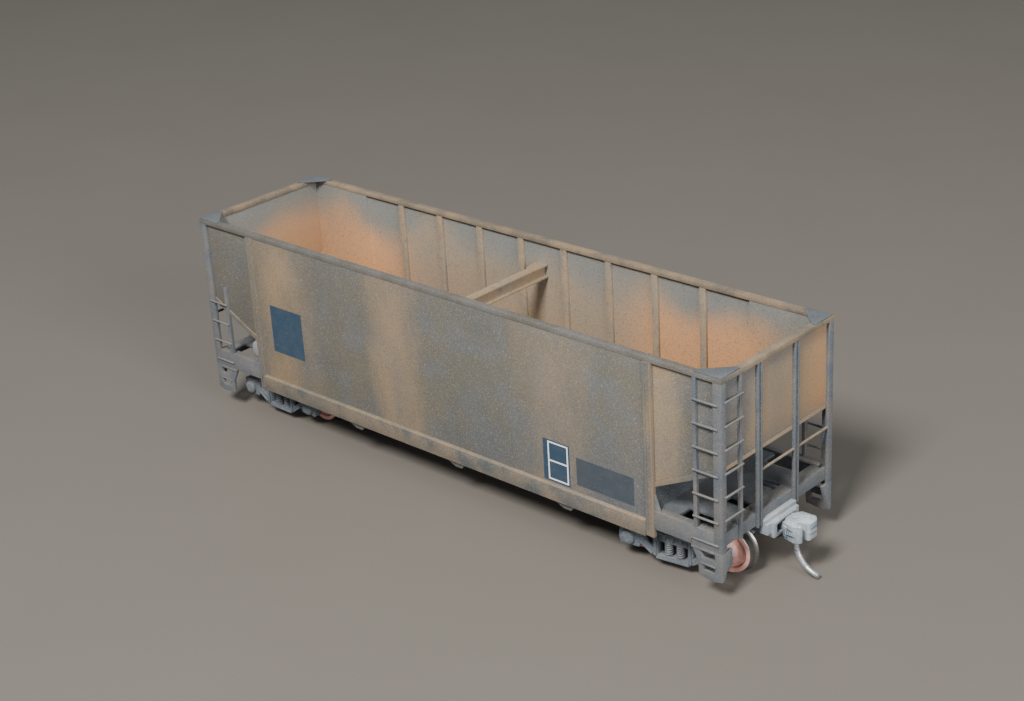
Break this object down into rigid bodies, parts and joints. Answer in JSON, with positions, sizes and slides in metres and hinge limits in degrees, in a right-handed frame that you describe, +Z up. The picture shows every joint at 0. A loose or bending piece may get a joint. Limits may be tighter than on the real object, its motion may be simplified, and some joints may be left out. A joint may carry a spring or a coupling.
{
  "type": "model open hopper wagon",
  "caption": "Scale model of an open-topped bogie hopper wagon with open end cages, sloped ends, turning trucks, rolling wheelsets and swinging knuckle couplers.",
  "frame": {"origin": "on the floor under the middle of the wagon, level with the wheel flanges' lowest points", "axes": "+X along the wagon towards end A, +Y to its left side, +Z up"},
  "size_m": [0.1694, 0.0386, 0.0485],
  "materials": {
    "body_paint": "flat grey paint under sprayed tan dust",
    "inside_paint": "flat grey paint thick with orange tan dust",
    "frame_paint": "flat blue grey paint with light dust",
    "truck_paint": "flat light blue grey paint",
    "coupler_finish": "dusted blackened metal",
    "wheel_rust": "rust coloured faces, bright treads",
    "bright_steel": "bare steel wire and screws"
  },
  "bodies": {
    "car_body": {"top_rim": "body_paint", "corner_gussets": "body_paint", "side_sheet_right": "body_paint", "side_sheet_left": "body_paint", "inside_posts_right": "inside_paint", "inside_posts_left": "inside_paint", "bolster_posts": "body_paint", "cross_brace": "inside_paint", "end_sheet_a": "body_paint", "end_sheet_b": "body_paint", "end_posts_a": "frame_paint", "end_posts_b": "frame_paint", "corner_posts": "body_paint", "end_sill_a": "frame_paint", "end_sill_b": "frame_paint", "side_sill_right": "body_paint", "side_sill_left": "body_paint", "end_side_sills": "body_paint", "slope_sheet_a": "inside_paint", "slope_sheet_b": "inside_paint", "hopper_ridges": "inside_paint", "centre_hood": "inside_paint", "outlet_sides": "inside_paint", "outlet_doors": "frame_paint", "centre_sill": "frame_paint", "body_bolster_a": "frame_paint", "body_bolster_b": "frame_paint", "draft_box_a": "frame_paint", "draft_box_b": "frame_paint", "side_ladders": "body_paint", "short_ladders": "body_paint", "end_ladders": "body_paint", "handrails": "body_paint", "corner_steps": "body_paint", "air_reservoir": "frame_paint", "brake_cylinder": "frame_paint", "control_valve": "frame_paint", "brake_wheel": "frame_paint", "truck_screw_a": "bright_steel", "truck_screw_b": "bright_steel"},
    "truck_a": {"truck_frame_a": "truck_paint", "truck_bolster_a": "truck_paint", "truck_springs_a": "truck_paint"},
    "truck_b": {"truck_frame_b": "truck_paint", "truck_bolster_b": "truck_paint", "truck_springs_b": "truck_paint"},
    "wheelset_a_outer": {"wheelset_a1": "wheel_rust"},
    "wheelset_a_inner": {"wheelset_a2": "wheel_rust"},
    "wheelset_b_outer": {"wheelset_b1": "wheel_rust"},
    "wheelset_b_inner": {"wheelset_b2": "wheel_rust"},
    "coupler_a": {"coupler_a": "coupler_finish", "trip_pin_a": "bright_steel"},
    "coupler_b": {"coupler_b": "coupler_finish", "trip_pin_b": "bright_steel"}
  },
  "joints": [
    {"name": "truck_a_swivel", "type": "hinge", "parent": "car_body", "child": "truck_a", "pos_m": [0.058, 0, 0.009], "axis": [0, 0, 1], "range_deg": [-18, 2]},
    {"name": "truck_b_swivel", "type": "hinge", "parent": "car_body", "child": "truck_b", "pos_m": [-0.058, 0, 0.009], "axis": [0, 0, 1], "range_deg": [-10, 10]},
    {"name": "wheelset_a_outer_spin", "type": "hinge", "parent": "truck_a", "child": "wheelset_a_outer", "pos_m": [0.0681, 0.00142, 0.00545], "axis": [-0.1392, 0.9903, 0], "continuous": true},
    {"name": "wheelset_a_inner_spin", "type": "hinge", "parent": "truck_a", "child": "wheelset_a_inner", "pos_m": [0.0479, -0.00142, 0.00545], "axis": [-0.1392, 0.9903, 0], "continuous": true},
    {"name": "wheelset_b_outer_spin", "type": "hinge", "parent": "truck_b", "child": "wheelset_b_outer", "pos_m": [-0.0682, 0, 0.00545], "axis": [0, 1, 0], "continuous": true},
    {"name": "wheelset_b_inner_spin", "type": "hinge", "parent": "truck_b", "child": "wheelset_b_inner", "pos_m": [-0.0478, 0, 0.00545], "axis": [0, 1, 0], "continuous": true},
    {"name": "coupler_a_swing", "type": "hinge", "parent": "car_body", "child": "coupler_a", "pos_m": [0.0692, 0, 0.0105], "axis": [0, 0, 1], "range_deg": [-8, 8], "stiffness_Nm_per_rad": 0.0002},
    {"name": "coupler_b_swing", "type": "hinge", "parent": "car_body", "child": "coupler_b", "pos_m": [-0.0692, 0, 0.0105], "axis": [0, 0, 1], "range_deg": [-8, 8], "stiffness_Nm_per_rad": 0.0002}
  ]
}
